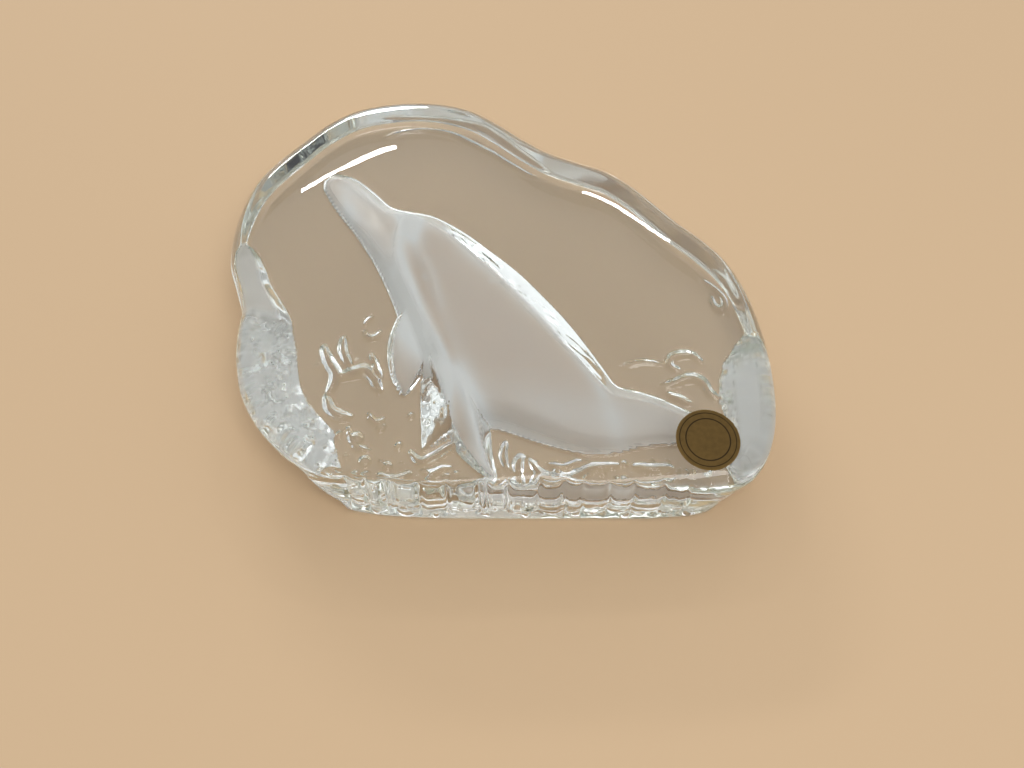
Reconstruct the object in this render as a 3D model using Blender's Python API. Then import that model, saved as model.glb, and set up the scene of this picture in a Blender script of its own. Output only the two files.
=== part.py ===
"""Clear crystal ornament: a smooth glass block with a leaping dolphin and its splash pressed
into the back, and a small round foil label on the front. Metres, +Z up.

The block lies on its flat back, as it would on a table. Its front face looks up, the straight
wall that it can also stand on faces -Y, and the dolphin's beak points up and to the left."""

import math

import bmesh
import bpy
from mathutils import Matrix, Vector

MM = 0.001

# Block
BLOCK_WIDTH = 0.1266
BLOCK_LENGTH = 0.1144
BLOCK_THICKNESS = 0.0205
FRONT_SAG = 0.0015
SHOULDER_RADIUS = 0.005
BASE_SHOULDER_RADIUS = 0.0036
BACK_EDGE = 0.0014
WALL_DRAFT = 0.0016
SLOPE_WIDTH_LEFT = 0.0122
SLOPE_WIDTH_RIGHT = 0.0102
SLOPE_RISE_LEFT = 0.605
SLOPE_RISE_RIGHT = 0.527
SLOPE_RIPPLE = 0.0005

# Dolphin and splash, cut into the back
DOLPHIN_DEPTH = 0.0072
FIN_DEPTH = 0.0062
SPRAY_DEPTH = 0.0062
SPLASH_DEPTH = 0.0017
SPLASH_WIDTH = 0.0022
BUBBLE_LIFT = 0.15
CUT_START = 0.0012

# Foil label on the front
LABEL_RADIUS = 0.0069
LABEL_THICKNESS = 0.0003
LABEL_BEAD_WIDTH = 0.0006
LABEL_BEAD_HEIGHT = 0.00012
LABEL_GAP = 0.0003
LABEL_FROM_RIGHT = 0.0170
LABEL_FROM_BASE = 0.0107

# Facets
SHARP_DEGREES = 40.0
OUTLINE_STEPS = 12
OUTLINE_POINTS = 112
SHOULDER_STEPS = 5
SLOPE_STEPS = 6
DOME_RINGS = 5
BODY_STATIONS_PER_SPAN = 2
BUBBLE_POINTS = 12
LABEL_POINTS = 48

# The drawing sheet: every place on it is in millimetres from the middle of the block.
SHEET_WIDTH = 126.6
SHEET_LENGTH = 114.4

# The block's outline, clockwise from the notch in its left side.
OUTLINE = (
    (-58.3, -11.0), (-60.2, -4.8), (-62.7, 2.5), (-63.3, 11.5), (-62.1, 21.3), (-59.4, 29.6),
    (-54.8, 36.6), (-49.5, 42.9), (-44.1, 49.0), (-37.1, 54.0), (-29.3, 56.4), (-21.3, 57.2),
    (-13.1, 56.4), (-5.2, 53.6), (1.7, 48.6), (8.3, 42.8), (14.4, 38.3), (21.5, 35.0),
    (28.7, 31.9), (35.0, 26.9), (40.4, 21.0), (45.5, 15.2), (51.1, 9.8), (56.0, 3.7),
    (59.3, -3.6), (61.3, -11.0), (62.7, -19.0), (63.3, -28.0), (63.0, -36.5), (61.5, -44.0),
    (58.4, -50.6), (53.6, -55.0), (46.5, -57.0), (38.0, -57.2), (26.0, -57.2), (12.0, -57.2),
    (-1.0, -57.2), (-14.0, -57.0), (-25.0, -56.2), (-33.5, -54.4), (-40.5, -51.0),
    (-46.5, -46.0), (-51.8, -39.8), (-55.6, -32.8), (-57.7, -25.0), (-58.4, -17.5),
)

# The rough slopes under the rim: an angle round the middle, counterclockwise from +X, then the
# shares of the slope's width and of its rise there. The rise is itself a share of the thickness.
LEFT_SLOPE = (
    (166.5, 0.00, 0.00), (168.5, 0.20, 0.19), (171.0, 0.39, 0.39), (175.0, 0.56, 0.56),
    (182.0, 0.65, 0.65), (188.0, 0.73, 0.74), (194.0, 0.82, 0.85), (200.0, 0.95, 0.98),
    (212.0, 0.97, 1.00), (221.0, 1.00, 0.94), (226.0, 0.98, 0.84), (231.0, 0.89, 0.71),
    (235.0, 0.72, 0.56), (239.0, 0.49, 0.44), (241.0, 0.00, 0.00),
)
RIGHT_SLOPE = (
    (-51.0, 0.00, 0.00), (-49.0, 0.25, 0.26), (-44.5, 0.55, 0.54), (-40.0, 0.65, 0.65),
    (-34.0, 0.88, 0.88), (-28.0, 1.00, 1.00), (-22.8, 0.94, 0.95), (-17.6, 0.73, 0.77),
    (-13.5, 0.39, 0.44), (-10.5, 0.00, 0.00),
)
# The slope is rough all over where its rise is more than this share of the thickness, and its
# ripples turn by so much from point to point of the outline, and from foot to top.
ROUGH_FROM = 0.2
RIPPLE_TURN = 1.9
RIPPLE_CLIMB = 5.0
# The stretch that is upright, because the block can stand on it.
BASE_STRETCH = (-132.0, -48.0)
BASE_FLATNESS = 1.6
# The wavy rounding above that stretch: a place along X, and the share of its radius.
BASE_SHOULDER = (
    (-36.0, 1.00), (-30.0, 0.46), (-14.0, 0.42), (-4.0, 0.53), (3.0, 0.70), (10.5, 0.90),
    (17.0, 0.64), (23.0, 0.45), (29.0, 0.61), (35.0, 0.80), (42.0, 0.94), (49.0, 1.20),
)

# The dolphin from beak to tail: a point on its back, one on its belly, and its share of the depth.
BODY_STATIONS = (
    ((-41.2, 36.5), (-43.0, 34.2), 0.20),
    ((-39.0, 36.1), (-43.0, 31.6), 0.33),
    ((-35.2, 34.6), (-41.0, 27.2), 0.42),
    ((-30.4, 30.2), (-37.6, 21.8), 0.52),
    ((-26.0, 25.6), (-34.2, 17.0), 0.60),
    ((-21.2, 24.0), (-31.2, 12.0), 0.78),
    ((-15.0, 22.5), (-28.4, 6.9), 0.90),
    ((-7.8, 17.9), (-25.3, 0.0), 0.98),
    ((-1.2, 12.2), (-22.4, -7.6), 1.00),
    ((5.8, 5.5), (-19.0, -17.0), 1.00),
    ((11.8, -1.6), (-14.4, -27.0), 1.00),
    ((17.2, -8.6), (-7.8, -35.6), 0.98),
    ((21.7, -15.6), (2.0, -37.8), 0.94),
    ((25.4, -21.8), (11.4, -41.0), 0.84),
    ((28.6, -26.7), (20.4, -43.2), 0.66),
    ((33.4, -28.2), (27.6, -43.0), 0.50),
    ((38.6, -30.2), (34.0, -41.4), 0.42),
    ((44.6, -33.4), (41.2, -40.8), 0.34),
    ((49.0, -36.0), (48.2, -39.6), 0.22),
)

# Across the body, from back to belly: share of the width, and share of the depth there. The
# crease along its flank stands out near the belly.
BODY_SECTION = (
    (0.00, 0.00), (0.04, 0.22), (0.09, 0.48), (0.15, 0.78), (0.21, 0.95), (0.30, 1.00),
    (0.45, 0.98), (0.62, 0.93), (0.73, 1.00), (0.80, 0.86), (0.91, 0.44), (1.00, 0.00),
)

# Fins: a point on the middle line, half the width there, and the share of the fin's depth.
NEAR_FIN = (
    ((-12.4, -16.0), 4.2, 0.70), ((-9.6, -22.0), 5.0, 1.02), ((-6.4, -31.0), 5.2, 1.04),
    ((-4.7, -37.5), 4.7, 0.94), ((-3.1, -42.0), 3.4, 0.76), ((-1.1, -45.8), 1.9, 0.52),
    ((1.2, -48.9), 0.5, 0.20),
)
FAR_FIN = (
    ((-17.5, -8.0), 4.6, 0.60), ((-19.1, -14.5), 4.8, 0.56), ((-19.3, -20.0), 4.6, 0.50),
    ((-19.7, -24.2), 3.3, 0.42), ((-19.7, -27.0), 1.9, 0.32), ((-19.9, -29.2), 0.5, 0.16),
)

# Across a fin, from its right bank to its left: share of the half width, and share of the depth.
NEAR_FIN_SECTION = (
    (1.00, 0.00), (0.80, 0.36), (0.50, 0.74), (0.14, 1.00), (-0.30, 0.96), (-0.74, 0.88),
    (-0.90, 0.56), (-1.00, 0.00),
)
FAR_FIN_SECTION = (
    (1.00, 0.00), (0.86, 0.62), (0.66, 0.94), (0.00, 1.00), (-0.66, 0.94), (-0.86, 0.62),
    (-1.00, 0.00),
)
# Across a splash stroke it is a half circle.
ROUND_SECTION = (
    (1.0, 0.0), (0.87, 0.5), (0.5, 0.87), (0.0, 1.0), (-0.5, 0.87), (-0.87, 0.5), (-1.0, 0.0),
)

# The spray against the near fin: its low bank, its high bank, and its share of the depth.
SPRAY_STATIONS = (
    ((-16.3, -25.2), (-12.6, -24.2), 0.50), ((-16.2, -30.5), (-9.9, -29.4), 0.94),
    ((-15.8, -37.0), (-9.2, -35.4), 1.00), ((-15.5, -42.6), (-9.0, -39.4), 0.70),
)
SPRAY_SECTION = ((0.00, 0.00), (0.50, 0.56), (1.00, 1.00))

# Splash strokes: the middle line, widest share of SPLASH_WIDTH, and share of SPLASH_DEPTH. They
# fade out over this part of a step beyond their ends.
STROKE_TIP = 0.35
STROKES = {
    "forked_splash": (((-39.3, -16.0), (-37.9, -19.8), (-35.8, -23.9), (-36.9, -28.5)), 1.1, 1.0),
    "crest_splash": (
        ((-35.4, -24.4), (-32.2, -23.3), (-29.4, -22.6), (-27.4, -24.4), (-25.4, -28.0)), 1.3, 1.1,
    ),
    "prong_splash": (((-34.9, -13.4), (-34.6, -17.6), (-32.3, -22.0)), 0.8, 0.8),
    "thin_splash": (((-28.2, -18.0), (-26.8, -21.4), (-25.2, -25.0)), 0.5, 0.7),
    "drop_splash": (((-37.4, -28.9), (-36.2, -32.4), (-34.0, -34.0), (-31.4, -34.4)), 1.0, 0.9),
    "bow_wave": (
        ((-17.8, -42.6), (-15.6, -44.8), (-12.2, -43.6), (-8.1, -41.6), (-5.0, -45.0), (-1.6, -47.4)),
        0.9, 0.9,
    ),
    "hook_splash": (
        ((43.6, -22.6), (41.0, -21.0), (42.4, -18.6), (46.2, -18.2), (48.8, -20.6)), 0.8, 0.8,
    ),
    "tail_wave": (
        ((38.7, -27.2), (42.3, -25.6), (45.8, -24.4), (48.4, -25.8), (49.6, -28.6), (53.0, -30.4)),
        0.9, 0.9,
    ),
    "tail_streak": (((39.4, -28.6), (45.4, -31.2)), 0.7, 0.7),
    "chest_drip": (((3.4, -40.4), (2.7, -43.4), (3.6, -46.6)), 0.8, 0.8),
    "round_drip": (((6.9, -43.4), (6.0, -45.4), (6.2, -48.0)), 1.2, 1.0),
    "belly_wave": (
        ((8.6, -44.6), (11.0, -47.6), (14.6, -48.8), (18.4, -48.4), (21.9, -46.4), (27.8, -45.6)),
        1.2, 1.1,
    ),
    "tail_foam": (((31.4, -45.8), (35.2, -46.4), (39.8, -46.0)), 1.0, 0.8),
}

# Bubbles: a place, and a radius. Their middle lies above the back by BUBBLE_LIFT of the radius.
BUBBLES = (
    ((-29.9, -39.6), 1.7), ((-24.6, -36.8), 1.2), ((-33.6, -38.4), 0.9), ((-27.6, -44.6), 1.4),
    ((-22.6, -45.8), 1.1), ((-20.4, -41.2), 1.0), ((-18.0, -34.2), 0.9), ((-40.2, -21.4), 0.9),
    ((-9.8, -48.2), 1.1), ((-5.8, -49.6), 0.9), ((30.6, -50.2), 1.4), ((36.2, -50.4), 1.0),
    ((24.8, -50.6), 0.9), ((-31.0, -20.0), 0.8), ((44.0, -50.0), 1.0),
)
RING_BUBBLE = ((-28.2, -10.7), 2.0, 2.9)
RING_BUBBLE_ARC = (200.0, 480.0)
RING_BUBBLE_POINTS = 9


def clear_scene():
    for old in list(bpy.data.objects):
        bpy.data.objects.remove(old, do_unlink=True)


def on_sheet(place):
    """A place on the drawing sheet, carried over to a block of any width and length."""
    x, y = place
    return Vector((x * BLOCK_WIDTH / SHEET_WIDTH, y * BLOCK_LENGTH / SHEET_LENGTH, 0.0))


def spline(points, steps, closed):
    """Points on a smooth curve through the given ones, which can be tuples of any length."""
    count = len(points)
    spans = count if closed else count - 1
    result = []
    for span in range(spans):
        if closed:
            around = [points[(span + shift) % count] for shift in (-1, 0, 1, 2)]
        else:
            around = [points[min(max(span + shift, 0), count - 1)] for shift in (-1, 0, 1, 2)]
        for step in range(steps):
            t = step / steps
            result.append(tuple(
                0.5 * (2 * b + (c - a) * t + (2 * a - 5 * b + 4 * c - d) * t ** 2
                       + (3 * b - a - 3 * c + d) * t ** 3)
                for a, b, c, d in zip(*around)
            ))
    if not closed:
        result.append(tuple(points[-1]))
    return result


def even_points(curve, count):
    """The closed curve again, as count points at even distances along it."""
    lengths = [(Vector(curve[i - 1]) - Vector(point)).length for i, point in enumerate(curve)]
    lengths = lengths[1:] + lengths[:1]
    pitch = sum(lengths) / count
    result = []
    passed = 0.0
    for i, length in enumerate(lengths):
        start = Vector(curve[i])
        end = Vector(curve[(i + 1) % len(curve)])
        while len(result) < count and len(result) * pitch < passed + length:
            result.append(start.lerp(end, (len(result) * pitch - passed) / length))
        passed += length
    return result


def block_outline():
    corners = [tuple(on_sheet(place)) for place in OUTLINE]
    return even_points(spline(corners, OUTLINE_STEPS, True), OUTLINE_POINTS)


def inward_normals(outline):
    normals = []
    for i in range(len(outline)):
        along = outline[(i + 1) % len(outline)] - outline[i - 1]
        normals.append(Vector((along.y, -along.x, 0.0)).normalized())
    return normals


def front_dome(x, y):
    """Height of the gently domed front, before its shoulder falls away to the wall."""
    return BLOCK_THICKNESS - FRONT_SAG * ((2 * x / BLOCK_WIDTH) ** 2 + (2 * y / BLOCK_LENGTH) ** 2)


def angle_past(place, start):
    """A place's angle round the middle in degrees, counted up from a starting angle."""
    return (math.degrees(math.atan2(place.y, place.x)) - start) % 360.0 + start


def numbers_at(value, stations):
    """The numbers that go with a value, read between the nearest of the given stations."""
    if value <= stations[0][0]:
        return stations[0][1:]
    for (low, *before), (high, *after) in zip(stations, stations[1:]):
        if value <= high:
            share = (value - low) / (high - low)
            return [a + (b - a) * share for a, b in zip(before, after)]
    return stations[-1][1:]


def slope_size(place):
    """Width and height of the rough slope at a place on the rim, or of the plain back edge."""
    left_width, left_rise = numbers_at(angle_past(place, LEFT_SLOPE[0][0]), LEFT_SLOPE)
    right_width, right_rise = numbers_at(angle_past(place, RIGHT_SLOPE[0][0]), RIGHT_SLOPE)
    width = max(SLOPE_WIDTH_LEFT * left_width, SLOPE_WIDTH_RIGHT * right_width)
    rise = max(SLOPE_RISE_LEFT * left_rise, SLOPE_RISE_RIGHT * right_rise)
    return max(width, BACK_EDGE), max(rise * BLOCK_THICKNESS, BACK_EDGE)


def upright_share(place):
    """1 where the wall is upright so that the block can stand on it, 0 where it isn't."""
    start, end = BASE_STRETCH
    angle = angle_past(place, start)
    if angle >= end:
        return 0.0
    return min(BASE_FLATNESS * math.sqrt(math.sin(math.pi * (angle - start) / (end - start))), 1.0)


def wall_draft(place):
    """How far the wall leans in towards the back."""
    return WALL_DRAFT * (1.0 - upright_share(place))


def shoulder_radius(place):
    """The rounding between wall and front, which is wavy and tight above the upright stretch."""
    share, = numbers_at(place.x * SHEET_WIDTH / BLOCK_WIDTH, BASE_SHOULDER)
    upright = upright_share(place)
    return SHOULDER_RADIUS * (1.0 - upright) + BASE_SHOULDER_RADIUS * share * upright


def slope_point(index, place, inward, share):
    """A point on the way from the flat back, share 0, to the foot of the wall, share 1."""
    width, height = slope_size(place)
    rough = min((height - BACK_EDGE) / (ROUGH_FROM * BLOCK_THICKNESS), 1.0)
    round_in = 1.0 - math.sin(share * math.pi / 2)
    round_up = 1.0 - math.cos(share * math.pi / 2)
    inset = width * (rough * (1.0 - share) + (1.0 - rough) * round_in)
    rise = height * (rough * share + (1.0 - rough) * round_up)
    ripple = math.sin(RIPPLE_TURN * index + RIPPLE_CLIMB * share) * math.sin(math.pi * share)
    rise += SLOPE_RIPPLE * rough * ripple
    return place + inward * (inset + wall_draft(place)) + Vector((0.0, 0.0, rise))


def shoulder_point(place, inward, share):
    """A point on the way from the top of the wall, share 0, to the front face, share 1."""
    turn = share * math.pi / 2
    radius = shoulder_radius(place)
    inner = place + inward * radius
    spot = place + inward * radius * (1.0 - math.cos(turn))
    spot.z = front_dome(inner.x, inner.y) - radius * (1.0 - math.sin(turn))
    return spot


def dome_point(place, inward, share):
    """A point on the front face, on the way from the shoulder, share 0, to the middle."""
    spot = (place + inward * shoulder_radius(place)) * (1.0 - share)
    spot.z = front_dome(spot.x, spot.y)
    return spot


def add_ring(mesh, points):
    corners = [mesh.verts.new(point) for point in points]
    edges = [mesh.edges.new((corners[i - 1], corners[i])) for i in range(len(corners))]
    return corners, edges


def loft(mesh, rings):
    """Skins neighbouring rings to each other, and gives the corners of the first and last."""
    made = [add_ring(mesh, ring) for ring in rings]
    for (_, lower), (_, upper) in zip(made, made[1:]):
        bmesh.ops.bridge_loops(mesh, edges=lower + upper)
    return made[0][0], made[-1][0]


def finish_mesh(mesh, name):
    bmesh.ops.recalc_face_normals(mesh, faces=mesh.faces)
    bmesh.ops.triangulate(mesh, faces=mesh.faces)
    data = bpy.data.meshes.new(name)
    mesh.to_mesh(data)
    mesh.free()
    data.shade_smooth()
    data.set_sharp_from_angle(angle=math.radians(SHARP_DEGREES))
    made = bpy.data.objects.new(name, data)
    bpy.context.collection.objects.link(made)
    return made


def build_block(outline, normals):
    """The block before anything is cut into it, skinned ring by ring from back to front."""
    rim = list(zip(range(len(outline)), outline, normals))
    rings = []
    for step in range(SLOPE_STEPS + 1):
        share = step / SLOPE_STEPS
        rings.append([slope_point(i, place, inward, share) for i, place, inward in rim])
    for step in range(SHOULDER_STEPS + 1):
        share = step / SHOULDER_STEPS
        rings.append([shoulder_point(place, inward, share) for _, place, inward in rim])
    for step in range(1, DOME_RINGS):
        share = step / DOME_RINGS
        rings.append([dome_point(place, inward, share) for _, place, inward in rim])
    mesh = bmesh.new()
    back, front = loft(mesh, rings)
    mesh.faces.new(back)
    middle = mesh.verts.new((0.0, 0.0, front_dome(0.0, 0.0)))
    for i in range(len(front)):
        mesh.faces.new((front[i - 1], front[i], middle))
    return finish_mesh(mesh, "crystal_block")


def cap_ends(mesh, first, last):
    mesh.faces.new(first)
    mesh.faces.new(last)


def as_cutter(made):
    made.hide_render = True
    made.display_type = "WIRE"
    return made


def build_form_cutter(name, stations, section, steps, depth):
    """A solid that rises from below the back of the block, between two banks."""
    rows = [one + other + (share,) for one, other, share in stations]
    rings = []
    for one_x, one_y, other_x, other_y, share in spline(rows, steps, False):
        one = on_sheet((one_x, one_y))
        other = on_sheet((other_x, other_y))
        below = Vector((0.0, 0.0, -CUT_START))
        ring = [one + below]
        for across, rise in section:
            ring.append(one.lerp(other, across) + Vector((0.0, 0.0, depth * share * rise)))
        ring.append(other + below)
        rings.append(ring)
    mesh = bmesh.new()
    cap_ends(mesh, *loft(mesh, rings))
    return as_cutter(finish_mesh(mesh, "cut_" + name))


def build_groove_cutter(name, line, section, steps, depth):
    """A channel along a line of (x, y, half width, share of the depth), on the sheet."""
    stations = spline(line, steps, False)
    places = [on_sheet(station[:2]) for station in stations]
    below = Vector((0.0, 0.0, -CUT_START))
    rings = []
    for i, (_, _, half_width, share) in enumerate(stations):
        along = places[min(i + 1, len(places) - 1)] - places[max(i - 1, 0)]
        side = Vector((-along.y, along.x, 0.0)).normalized() * half_width * MM
        ring = [places[i] + side + below]
        for across, rise in section:
            ring.append(places[i] + side * across + Vector((0.0, 0.0, depth * share * rise)))
        ring.append(places[i] - side + below)
        rings.append(ring)
    mesh = bmesh.new()
    cap_ends(mesh, *loft(mesh, rings))
    return as_cutter(finish_mesh(mesh, "cut_" + name))


def build_fin_cutters():
    made = []
    for name, fin, section in (
        ("near_fin", NEAR_FIN, NEAR_FIN_SECTION), ("far_fin", FAR_FIN, FAR_FIN_SECTION),
    ):
        line = [place + (half_width, share) for place, half_width, share in fin]
        made.append(build_groove_cutter(name, line, section, 2, FIN_DEPTH))
    return made


def stroke_line(places, width, depth):
    """The stroke with its width and depth at each point: full in the middle, slim at the ends."""
    line = []
    for i, place in enumerate(places):
        share = (i + STROKE_TIP) / (len(places) - 1 + 2 * STROKE_TIP)
        full = math.sqrt(math.sin(math.pi * share))
        line.append(place + (0.5 * width * full * SPLASH_WIDTH / MM, depth * full))
    return line


def build_stroke_cutters():
    made = []
    for name, (places, width, depth) in STROKES.items():
        line = stroke_line(places, width, depth)
        made.append(build_groove_cutter(name, line, ROUND_SECTION, 2, SPLASH_DEPTH))
    (x, y), across, along = RING_BUBBLE
    start, end = (math.radians(angle) for angle in RING_BUBBLE_ARC)
    arc = []
    for i in range(RING_BUBBLE_POINTS):
        angle = start + (end - start) * i / (RING_BUBBLE_POINTS - 1)
        arc.append((x + across * math.cos(angle), y + along * math.sin(angle)))
    line = stroke_line(arc, 0.6, 0.8)
    made.append(build_groove_cutter("ring_bubble", line, ROUND_SECTION, 1, SPLASH_DEPTH))
    return made


def build_bubble_cutters():
    made = []
    for i, (place, radius) in enumerate(BUBBLES):
        mesh = bmesh.new()
        at = on_sheet(place) + Vector((0.0, 0.0, BUBBLE_LIFT * radius * MM))
        bmesh.ops.create_uvsphere(
            mesh, u_segments=BUBBLE_POINTS, v_segments=BUBBLE_POINTS * 2 // 3,
            radius=radius * MM, matrix=Matrix.Translation(at),
        )
        made.append(as_cutter(finish_mesh(mesh, f"cut_bubble_{i}")))
    return made


def cut(block, cutters, solver):
    for cutter in cutters:
        modifier = block.modifiers.new(cutter.name, "BOOLEAN")
        modifier.operation = "DIFFERENCE"
        modifier.solver = solver
        modifier.object = cutter


def dome_normal(x, y):
    """Which way the domed front faces at a place."""
    fall_x = 8 * FRONT_SAG * x / BLOCK_WIDTH ** 2
    fall_y = 8 * FRONT_SAG * y / BLOCK_LENGTH ** 2
    return Vector((fall_x, fall_y, 1.0)).normalized()


def build_label():
    """A thin flat disc of foil, laid along the front, with a raised bead round its edge."""
    x = BLOCK_WIDTH / 2 - LABEL_FROM_RIGHT
    y = LABEL_FROM_BASE - BLOCK_LENGTH / 2
    middle = Vector((x, y, front_dome(x, y) + LABEL_GAP))
    tilt = Vector((0.0, 0.0, 1.0)).rotation_difference(dome_normal(x, y))
    inner = LABEL_RADIUS - 2 * LABEL_BEAD_WIDTH
    crest = LABEL_RADIUS - LABEL_BEAD_WIDTH
    profile = (
        (LABEL_RADIUS, 0.0), (LABEL_RADIUS, LABEL_THICKNESS),
        (crest, LABEL_THICKNESS + LABEL_BEAD_HEIGHT), (inner, LABEL_THICKNESS),
    )
    rings = []
    for radius, lift in profile:
        ring = []
        for i in range(LABEL_POINTS):
            turn = math.tau * i / LABEL_POINTS
            spot = Vector((radius * math.cos(turn), radius * math.sin(turn), lift))
            ring.append(middle + tilt @ spot)
        rings.append(ring)
    mesh = bmesh.new()
    cap_ends(mesh, *loft(mesh, rings))
    return finish_mesh(mesh, "foil_label")


def crystal_glass():
    """Clear lead crystal: no colour of its own, and polished."""
    material = bpy.data.materials.new("crystal_glass")
    material.use_nodes = True
    shader = material.node_tree.nodes["Principled BSDF"]
    shader.inputs["Base Color"].default_value = (0.93, 0.96, 0.95, 1.0)
    shader.inputs["Roughness"].default_value = 0.02
    shader.inputs["Metallic"].default_value = 0.0
    shader.inputs["IOR"].default_value = 1.545
    shader.inputs["Transmission Weight"].default_value = 1.0
    return material


def gold_foil():
    """Dull dark gold foil."""
    material = bpy.data.materials.new("gold_foil")
    material.use_nodes = True
    shader = material.node_tree.nodes["Principled BSDF"]
    shader.inputs["Base Color"].default_value = (0.30, 0.20, 0.07, 1.0)
    shader.inputs["Roughness"].default_value = 0.38
    shader.inputs["Metallic"].default_value = 0.9
    return material


def main():
    clear_scene()
    outline = block_outline()
    block = build_block(outline, inward_normals(outline))
    body = build_form_cutter(
        "dolphin_body", BODY_STATIONS, BODY_SECTION, BODY_STATIONS_PER_SPAN, DOLPHIN_DEPTH
    )
    cut(block, [body], "EXACT")
    # Bent grooves that cross each other need the solver for closed meshes.
    spray = build_form_cutter("spray", SPRAY_STATIONS, SPRAY_SECTION, 2, SPRAY_DEPTH)
    cut(block, [spray] + build_fin_cutters(), "MANIFOLD")
    cut(block, build_stroke_cutters() + build_bubble_cutters(), "MANIFOLD")
    block.data.materials.append(crystal_glass())
    label = build_label()
    label.data.materials.append(gold_foil())


main()
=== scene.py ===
"""Looks of a clear crystal ornament: a smooth glass block with a frosted leaping dolphin and its
splash pressed into the back, and a small foil label on the front. Metres, +Z up."""

import math

import bmesh
import bpy
import numpy as np
from bpy.props import FloatProperty, FloatVectorProperty, PointerProperty
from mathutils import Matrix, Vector, noise
from mathutils.bvhtree import BVHTree


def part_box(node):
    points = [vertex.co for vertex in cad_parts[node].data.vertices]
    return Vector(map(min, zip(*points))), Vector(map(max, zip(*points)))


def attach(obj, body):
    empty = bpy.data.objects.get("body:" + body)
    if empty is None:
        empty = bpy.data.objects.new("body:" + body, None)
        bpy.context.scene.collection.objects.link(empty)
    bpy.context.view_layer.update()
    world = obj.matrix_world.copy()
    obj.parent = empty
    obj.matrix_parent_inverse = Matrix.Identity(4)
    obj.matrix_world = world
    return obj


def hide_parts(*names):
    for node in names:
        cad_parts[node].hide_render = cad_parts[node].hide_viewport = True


bl_info = {
    "name": "Crystal dolphin ornament",
    "version": (1, 0, 0),
    "blender": (4, 5, 0),
    "location": "3D View > Sidebar > Crystal",
    "description": "Glass block with a pressed dolphin, its foil label and a studio stage",
    "category": "Add Mesh",
}

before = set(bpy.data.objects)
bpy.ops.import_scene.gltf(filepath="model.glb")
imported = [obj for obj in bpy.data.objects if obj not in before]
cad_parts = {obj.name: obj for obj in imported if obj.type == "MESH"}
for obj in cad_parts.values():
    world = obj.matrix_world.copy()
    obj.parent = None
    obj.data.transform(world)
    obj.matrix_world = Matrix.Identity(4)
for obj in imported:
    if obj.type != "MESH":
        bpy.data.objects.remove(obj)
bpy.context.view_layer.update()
BLOCK_LOW, BLOCK_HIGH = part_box("crystal_block")
LABEL_LOW, LABEL_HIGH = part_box("foil_label")

MM = 0.001

# How finely the block is made: steps round it, and rings on each part of its surface.
AROUND = 600
SLOPE_RINGS = 34
INTAGLIO_RINGS = 82
WALL_RINGS = 12
SHOULDER_RINGS = 12
FRONT_RINGS = 16

# The pressed slopes and the splash lie within this distance of the wall.
RIM_ZONE = 13.0 * MM

# The inset given to places further in, where nothing depends on the wall.
FAR_FROM_WALL = 1.0

# The front begins to roll off at this distance from the wall.
ROLL_ZONE = 20.0 * MM

# Attributes of the block's mesh: how satin it is, and the painted light on its satin, whiter for
# painted highlights and warmer for painted shade.
FINISH = ("frost", "painted_light")

# Distance of the lamps behind the block from the middle of its back.
LAMP_REACH = 1.05

# The camera stands 58 degrees above the floor, as in the photograph.
CAMERA_PLACE = (0.0047, -0.1568, 0.2171)
CAMERA_TILT = math.radians(32.0)
CAMERA_LENS = 37.62

# The block's outline in millimetres from its middle, clockwise from the notch in its left side.
OUTLINE = (
    (-58.3, -11.0), (-60.2, -4.8), (-62.7, 2.5), (-63.3, 11.5), (-62.1, 21.3), (-59.4, 29.6),
    (-54.8, 36.6), (-49.5, 42.9), (-44.1, 49.0), (-37.1, 54.0), (-29.3, 56.4), (-21.3, 57.2),
    (-13.1, 56.4), (-5.2, 53.6), (1.7, 48.6), (8.3, 42.8), (14.4, 38.3), (21.5, 35.0),
    (28.7, 31.9), (35.0, 26.9), (40.4, 21.0), (45.5, 15.2), (51.1, 9.8), (56.0, 3.7),
    (59.3, -3.6), (61.3, -11.0), (62.7, -19.0), (63.3, -28.0), (63.0, -36.5), (61.5, -44.0),
    (58.4, -50.6), (53.6, -55.0), (46.5, -57.0), (38.0, -57.2), (26.0, -57.2), (12.0, -57.2),
    (-1.0, -57.2), (-14.0, -57.0), (-25.0, -56.2), (-33.5, -54.4), (-40.5, -51.0),
    (-46.5, -46.0), (-51.8, -39.8), (-55.6, -32.8), (-57.7, -25.0), (-58.4, -17.5),
)

# The slopes under the rim: angle in degrees round the middle, counterclockwise from +X, then the
# slope's width and the height it rises to, both in millimetres, how rough it is, and how satin.
LEFT_SLOPE = (
    (166.5, 0.0, 0.0, 0.1, 0.8), (168.5, 2.9, 2.9, 0.1, 0.8), (171.0, 5.0, 5.0, 0.1, 0.8),
    (175.0, 6.8, 6.9, 0.1, 0.8), (182.0, 7.9, 8.0, 0.1, 0.8), (188.0, 8.9, 9.2, 0.1, 0.8),
    (191.0, 9.4, 9.9, 0.6, 0.0), (194.0, 10.0, 10.6, 0.7, 0.0), (200.0, 11.6, 12.2, 0.9, 0.0),
    (212.0, 11.8, 12.4, 1.1, 0.0), (221.0, 12.2, 11.6, 1.3, 0.0), (226.0, 12.0, 10.4, 1.4, 0.0),
    (231.0, 10.8, 8.8, 1.4, 0.0), (235.0, 8.8, 7.0, 1.3, 0.0), (239.0, 6.0, 5.4, 1.0, 0.0),
    (241.0, 0.0, 0.0, 1.0, 0.0),
)
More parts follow.
